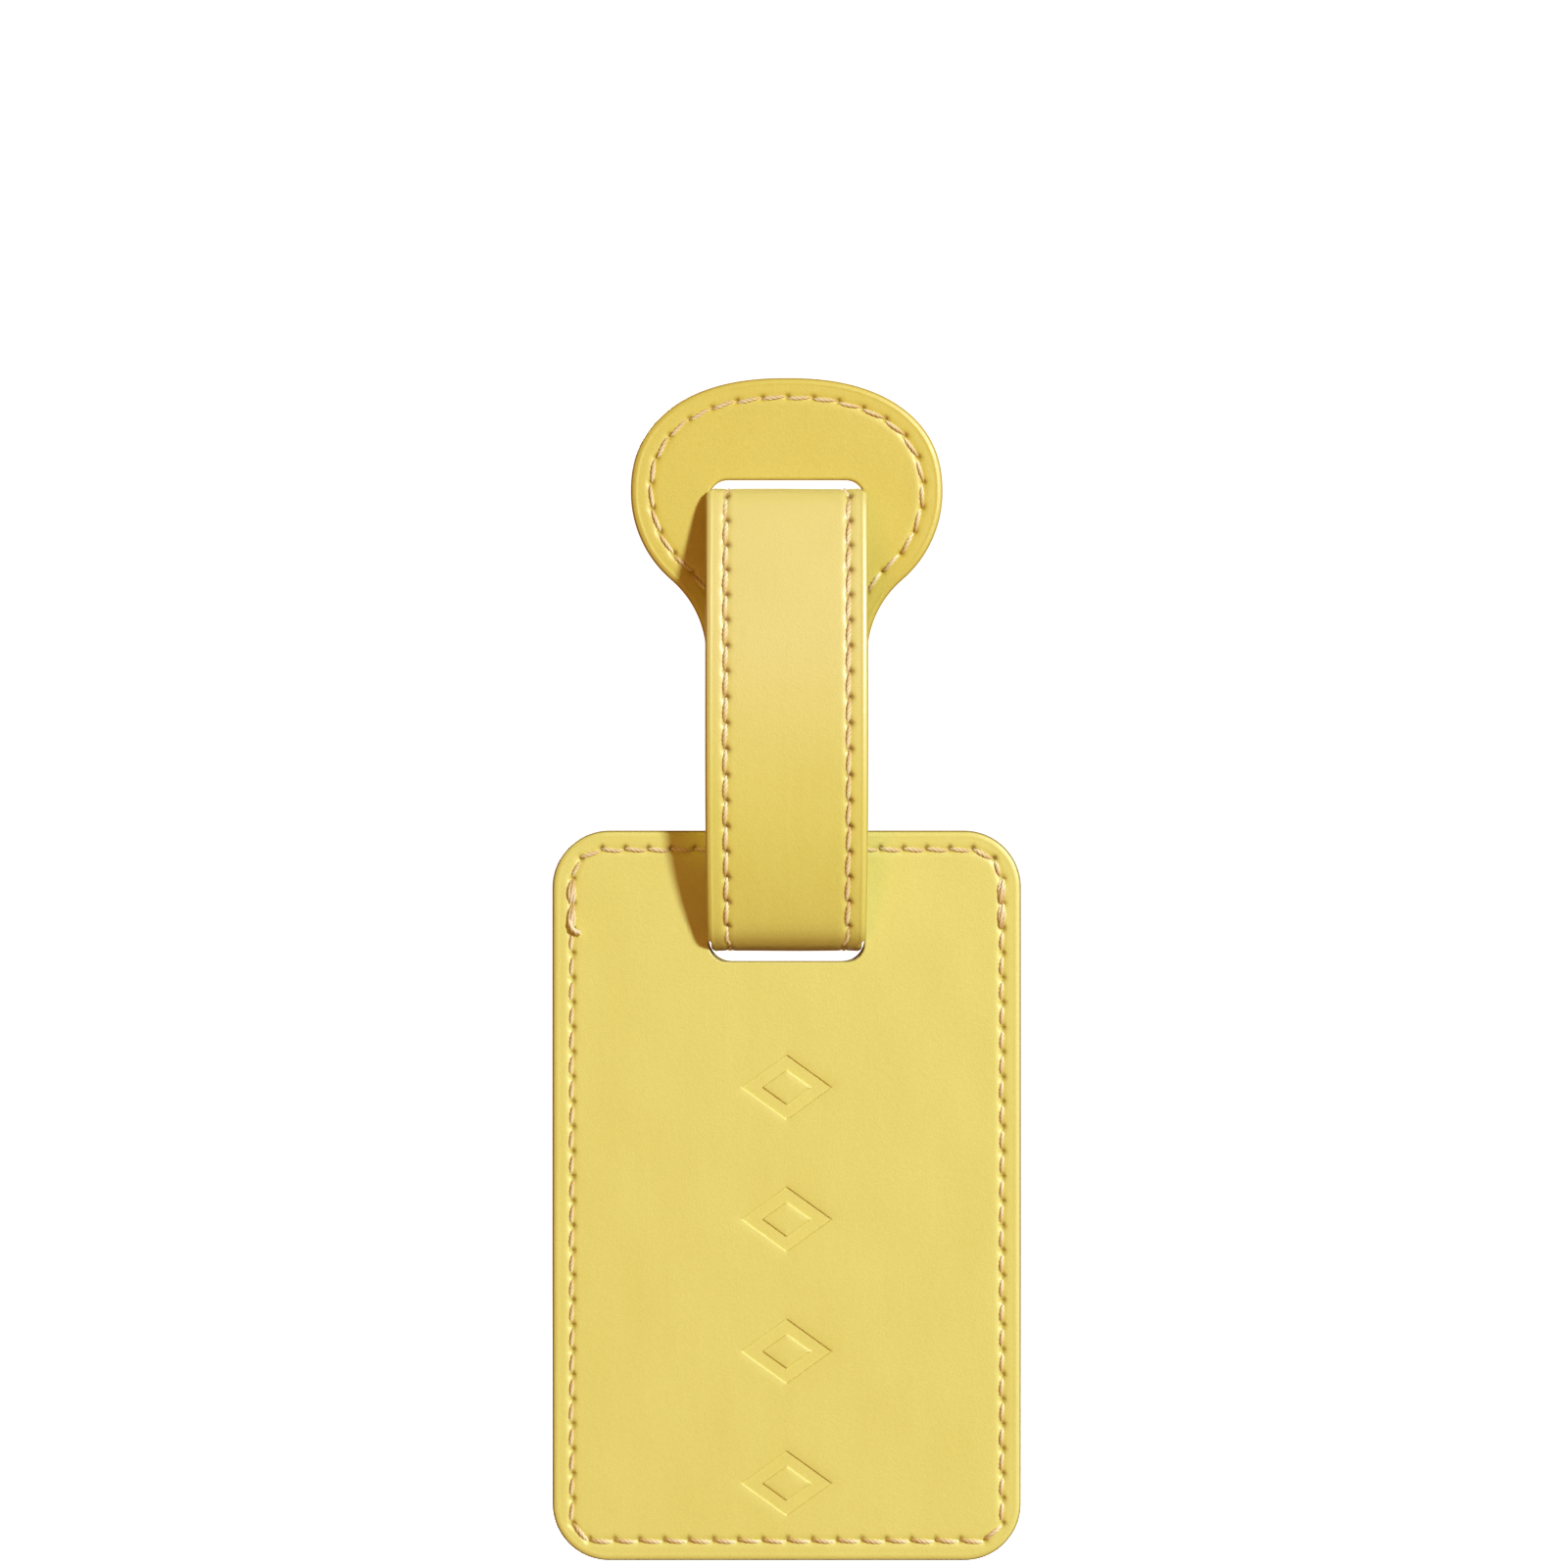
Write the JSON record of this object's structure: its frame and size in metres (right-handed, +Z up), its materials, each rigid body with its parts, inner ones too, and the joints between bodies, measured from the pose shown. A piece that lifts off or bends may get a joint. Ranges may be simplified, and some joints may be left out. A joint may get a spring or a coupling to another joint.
{
  "type": "luggage tag",
  "caption": "Stitched leather luggage tag with a windowed card pocket on its back, hung on a flat strap that closes through a slot in its own rounded head.",
  "frame": {"origin": "middle of the lower edge of the slot in the strap's head, where the loop that goes over a bag's handle closes", "axes": "+Z up, from the tag body to the strap's head; the front, with the debossed marks, faces -Y; +X to the viewer's right"},
  "size_m": [0.0702, 0.0178, 0.1774],
  "materials": {
    "leather": "satin, fine grain",
    "thread": "polished sewing thread",
    "tape": "woven",
    "board": "bonded fibre board, matt",
    "film": "clear, glossy",
    "card": "uncoated card"
  },
  "bodies": {
    "strap": {"strap_outer_leather": "leather", "strap_inner_leather": "leather", "strap_reinforcement_tape": "tape", "strap_outer_thread": "thread", "strap_inner_thread": "thread"},
    "tag": {"front_cover": "leather", "stiffener_board": "board", "backing_panel": "leather", "window_frame": "leather", "window_film": "film", "seam_thread_front": "thread", "seam_thread_back": "thread", "window_thread": "thread", "frame_top_thread": "thread"},
    "card": {"address_card": "card"}
  },
  "joints": [
    {"name": "tag_swing", "type": "hinge", "parent": "strap", "child": "tag", "pos_m": [0, 0, -0.062], "axis": [1, 0, 0], "range_deg": [-15, 18]},
    {"name": "card_slide", "type": "slide", "parent": "tag", "child": "card", "axis": [1, 0, 0], "range_m": [0, 0.058]}
  ]
}
